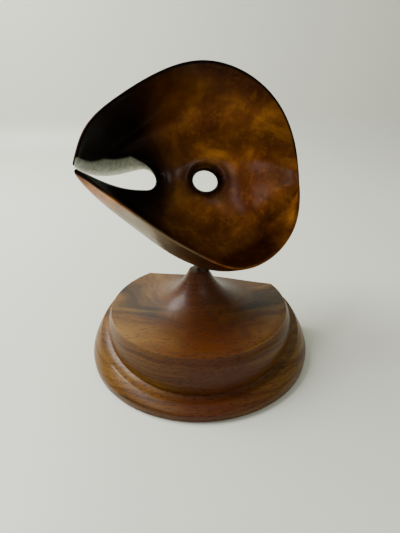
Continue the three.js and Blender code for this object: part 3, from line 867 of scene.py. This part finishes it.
class SculptureBaseSettings(bpy.types.PropertyGroup):
    foot_radius: length("Foot radius", "Radius of the round foot", 100)
    edge_height: length("Edge height", "Height of the edge above the wall", 45.1)
    cone_height: length("Cone height", "Height of the cone's flat top", 80)
    groove_height: length("Groove height", "Mean height of the groove", 26.1)
    groove_climb: length("Groove climb", "How far the groove climbs to the back", 12.1)
    groove_wave: length("Groove wave", "How far the groove rises at both sides", 2.5)
    edge_softness: length("Edge softness", "How far the edge is rubbed down at the right front", 1.4)
    cut_distance: length("Cut distance", "How far behind the axis the back is cut flat", 49)
    cut_turn: bpy.props.FloatProperty(name="Cut turn", description="Turn of the flat back",
                                      default=math.radians(-12), unit="ROTATION")
    wood: tint("Wood", "Main colour of the wood", (0.128, 0.048, 0.0035))
    pale_wood: tint("Pale wood", "Colour of the pale growth", (0.26, 0.128, 0.018))
    # Colour of the redder band across the middle of X
    red_wood: tint("Red wood", "Colour of the redder heart", (0.086, 0.0155, 0.0006))
    dark_wood: tint("Dark wood", "Colour of the dark figure and the pores", (0.012, 0.0045, 0.0012))
    # Painted shade along the groove
    groove_shade: tint("Groove shade", "Colour of the dark line in the groove", (0.020, 0.008, 0.002))


class SculptureFormSettings(bpy.types.PropertyGroup):
    wall: length("Wall", "Thickness of the dish's wall", 4.2)
    rim_wall: length("Rim wall", "Thickness of the wall at its rim", 2.2)
    rim_taper: length("Rim taper", "How far the thinner rim reaches", 9)
    drop_roll: length("Drop roll", "Radius of the drop opening's rolled lip", 10)
    eye_roll: length("Eye roll", "Radius of the eye's rolled lip", 5.5)
    roll_angle: bpy.props.FloatProperty(name="Roll angle", description="Turn of the rolled lips",
                                        default=math.radians(80), unit="ROTATION")
    lip_swell: length("Lip swell", "How much thicker the wall is at its openings", 1)
    lip_reach: length("Lip reach", "How far the thicker lip reaches", 9)
    drop_end: length("Drop end", "Where the drop opening's round end lies along the valley", -23.4)
    drop_radius: length("Drop radius", "Radius of the drop opening's round end", 9.5)
    eye_centre: length("Eye centre", "Where the round eye lies along the valley", 25.3)
    eye_length: length("Eye length", "Half the eye's size along the valley", 11.6)
    eye_height: length("Eye height", "Half the eye's size across the valley", 9.7)
    stem_radius: length("Stem radius", "Radius of the stem under the dish", 1.9)
    stem_bottom: length("Stem bottom", "Height at which the stem starts", 80.3)
    stem_length: length("Stem length", "Length of the stem into the dish", 5.5)
    patina: tint("Patina", "Main colour of the bronze", (0.165, 0.050, 0.008))
    dark_patina: tint("Dark patina", "Colour of the dark clouds", (0.078, 0.019, 0.003))
    golden_patina: tint("Golden patina", "Colour of the pale clouds", (0.40, 0.150, 0.020))
    red_patina: tint("Red patina", "Colour of the reddish clouds", (0.130, 0.023, 0.002))
    # Painted shade: the black laid round the openings, toward the pointed end, along the top and along
    # the upper rim
    painted_shade: tint("Painted shade", "Colour round the openings", (0.004, 0.001, 0.001))
    # Painted reflection: the pale floor's colour on the outside at the lower left
    floor_reflection_outside: tint("Floor reflection outside", "Colour of the worn outside at the left", (0.17, 0.138, 0.080))
    # Painted reflection of the pale floor on the upper lips, pale beside the openings and grey further
    # in
    lip_floor_reflection: tint("Lip floor reflection", "Colour of the upper lips beside the openings", (0.82, 0.84, 0.68))
    grey_lip: tint("Grey lip", "Colour of the upper lips further in", (0.27, 0.285, 0.20))


# The floor runs up into a wall behind the sculpture, in metres
WALL_PLACE = 0.95
WALL_CURVE = 0.12
WALL_HEIGHT = 4.0
FLOOR_REACH = 8.0
FLOOR_CURVE_ROWS = 12
FLOOR_ROUGHNESS = 0.45
SKY_COLOUR = (0.95, 1.0, 0.93, 1)
# Lamps: degrees to the right of the front, degrees up, metres away from the point they face
AIM = Vector((0, 0.04, 0.13))
KEY_AZIMUTH, KEY_ELEVATION, KEY_DISTANCE, KEY_SIZE = -105, 48, 1.3, 0.8
ROW_AZIMUTHS, ROW_ELEVATION, ROW_DISTANCE, ROW_SIZE, ROW_LAMPS = (2, 40), 41, 1.5, 0.06, 5
# Camera, fitted to the foot's circle and the base's top edge
CAMERA_PLACE = (0.00098, -0.31769, 0.24189)
CAMERA_RIGHT = Vector((0.99995, -0.00437, -0.00871))
CAMERA_UP = Vector((0.009745, 0.44833, 0.89382))
CAMERA_FORWARD = Vector((0, 0.89386, -0.44835))
SENSOR, NEAREST_SEEN = 36, 0.01
LENS = SENSOR * 400 / 533


class SculptureStageSettings(bpy.types.PropertyGroup):
    floor: tint("Floor", "Colour of the floor and the wall behind", (0.87, 0.88, 0.77))
    key_power: bpy.props.FloatProperty(name="Key light", description="Power of the light at the left",
                                       default=29.0, unit="POWER")
    row_power: bpy.props.FloatProperty(name="Front lamps", default=1.6, unit="POWER",
                                       description="Power of the row of lamps above the front")
    sky: bpy.props.FloatProperty(name="Fill light", description="Strength of the light all round",
                                 default=0.30, min=0.0)


# Operators


class SCULPTURE_OT_wooden_base(bpy.types.Operator):
    """Builds the turned wooden base, cut flat at the back"""

    bl_idname = "sculpture.wooden_base"
    bl_label = "Wooden base"

    def execute(self, context):
        settings = context.scene.sculpture_base
        profile = base_profile(settings.foot_radius / MM, settings.groove_height / MM,
                               settings.edge_height / MM, settings.cone_height / MM)
        outline = object_of("outline", [(r * MM, 0, z * MM) for r, z, _ in profile], [])
        add_attribute(outline, "follows_groove", "FLOAT", profile[:, 2])
        radii, heights = profile[:, 0], profile[:, 1]
        # Nearness to the groove, where painted shade darkens the wood
        groove = near(np.hypot(radii - GROOVE_RADIUS - SHADE_OFFSET,
                               heights - settings.groove_height / MM), SHADE_REACH)
        edge = near(np.hypot(radii - EDGE_RADIUS, heights - settings.edge_height / MM), EDGE_REACH)
        add_attribute(outline, "groove_nearness", "FLOAT", groove)
        add_attribute(outline, "edge_nearness", "FLOAT", edge)
        base = made_plain(outline, turning_tree(len(profile)), {
            **values_of(settings, TURNING_INPUTS), "Cut block": 4 * settings.foot_radius,
            "Material": turned_wood(settings)}, "turned_base")
        base.data.set_sharp_from_angle(angle=BASE_SHARP)
        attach(base, "root")
        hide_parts("wooden_base")
        return {"FINISHED"}


class SCULPTURE_OT_bronze_form(bpy.types.Operator):
    """Builds the folded bronze dish with its openings and its stem"""

    bl_idname = "sculpture.bronze_form"
    bl_label = "Bronze form"

    def execute(self, context):
        settings = context.scene.sculpture_form
        sizes = [value / MM for value in (
            settings.drop_end, settings.drop_radius, settings.eye_centre, settings.eye_length,
            settings.eye_height, settings.drop_roll, settings.eye_roll)]
        form = made_plain(dish_sheet([*sizes, settings.roll_angle]), wall_tree(), {
            **values_of(settings, WALL_INPUTS), "Material": bronze_patina(settings)}, "folded_dish")
        form.data.set_sharp_from_angle(angle=DISH_SHARP)
        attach(form, "root")
        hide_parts("bronze_form")
        return {"FINISHED"}


class SCULPTURE_OT_stage(bpy.types.Operator):
    """Sets the floor, the wall behind, the lights and the camera"""

    bl_idname = "sculpture.stage"
    bl_label = "Stage"

    def execute(self, context):
        settings = context.scene.sculpture_stage
        scene = context.scene
        sweep = [(-FLOOR_REACH, 0), (WALL_PLACE - WALL_CURVE, 0)]
        for angle in np.linspace(0, math.pi / 2, FLOOR_CURVE_ROWS)[1:]:
            sweep.append((WALL_PLACE - WALL_CURVE + WALL_CURVE * math.sin(angle),
                          WALL_CURVE - WALL_CURVE * math.cos(angle)))
        sweep.append((WALL_PLACE, WALL_HEIGHT))
        points = [(x, y, z) for y, z in sweep for x in (-FLOOR_REACH, FLOOR_REACH)]
        faces = [(i, i + 1, i + 3, i + 2) for i in range(0, len(points) - 2, 2)]
        floor = object_of("floor", points, faces)
        floor.data.materials.append(floor_material(settings.floor))
        floor.data.shade_smooth()
        world = bpy.data.worlds.new("Soft light")
        world.use_nodes = True
        sky = world.node_tree.nodes["Background"].inputs
        sky["Color"].default_value = SKY_COLOUR
        sky["Strength"].default_value = settings.sky
        scene.world = world
        lamps = [("key", KEY_AZIMUTH, KEY_ELEVATION, KEY_DISTANCE, KEY_SIZE, settings.key_power)]
        for i, azimuth in enumerate(np.linspace(*ROW_AZIMUTHS, ROW_LAMPS)):
            lamps.append((f"row_{i}", azimuth, ROW_ELEVATION, ROW_DISTANCE, ROW_SIZE,
                          settings.row_power / ROW_LAMPS))
        for name, azimuth, elevation, distance, size, power in lamps:
            light = bpy.data.lights.new(name, "AREA")
            light.energy = power
            light.size = size
            lamp = bpy.data.objects.new(name, light)
            side, lift = math.radians(azimuth), math.radians(elevation)
            toward = Vector((math.sin(side) * math.cos(lift), -math.cos(side) * math.cos(lift),
                             math.sin(lift)))
            lamp.location = AIM + toward * distance
            lamp.rotation_euler = (-toward).to_track_quat("-Z", "Y").to_euler()
            scene.collection.objects.link(lamp)
        lens = bpy.data.cameras.new("camera")
        lens.sensor_width = SENSOR
        lens.lens = LENS
        lens.clip_start = NEAREST_SEEN
        camera = bpy.data.objects.new("camera", lens)
        turn = Matrix((CAMERA_RIGHT, CAMERA_UP, -CAMERA_FORWARD)).transposed().to_4x4()
        camera.matrix_world = Matrix.Translation(CAMERA_PLACE) @ turn
        scene.collection.objects.link(camera)
        scene.camera = camera
        return {"FINISHED"}


class VIEW3D_PT_sculpture(bpy.types.Panel):
    bl_label = "Sculpture"
    bl_space_type = "VIEW_3D"
    bl_region_type = "UI"
    bl_category = "Sculpture"

    def draw(self, context):
        for name, kind, operator in SETTINGS:
            box = self.layout.box()
            for setting in kind.__annotations__:
                box.prop(getattr(context.scene, name), setting)
            box.operator(operator)


SETTINGS = (("sculpture_base", SculptureBaseSettings, "sculpture.wooden_base"),
            ("sculpture_form", SculptureFormSettings, "sculpture.bronze_form"),
            ("sculpture_stage", SculptureStageSettings, "sculpture.stage"))
CLASSES = (SculptureBaseSettings, SculptureFormSettings, SculptureStageSettings,
           SCULPTURE_OT_wooden_base, SCULPTURE_OT_bronze_form, SCULPTURE_OT_stage,
           VIEW3D_PT_sculpture)


def register():
    for kind in CLASSES:
        bpy.utils.register_class(kind)
    for name, kind, _ in SETTINGS:
        setattr(bpy.types.Scene, name, bpy.props.PointerProperty(type=kind))


def unregister():
    for name, _, _ in SETTINGS:
        delattr(bpy.types.Scene, name)
    for kind in reversed(CLASSES):
        bpy.utils.unregister_class(kind)


def main():
    register()
    bpy.ops.sculpture.wooden_base()
    bpy.ops.sculpture.bronze_form()
    bpy.ops.sculpture.stage()


if __name__ == "__main__":
    main()
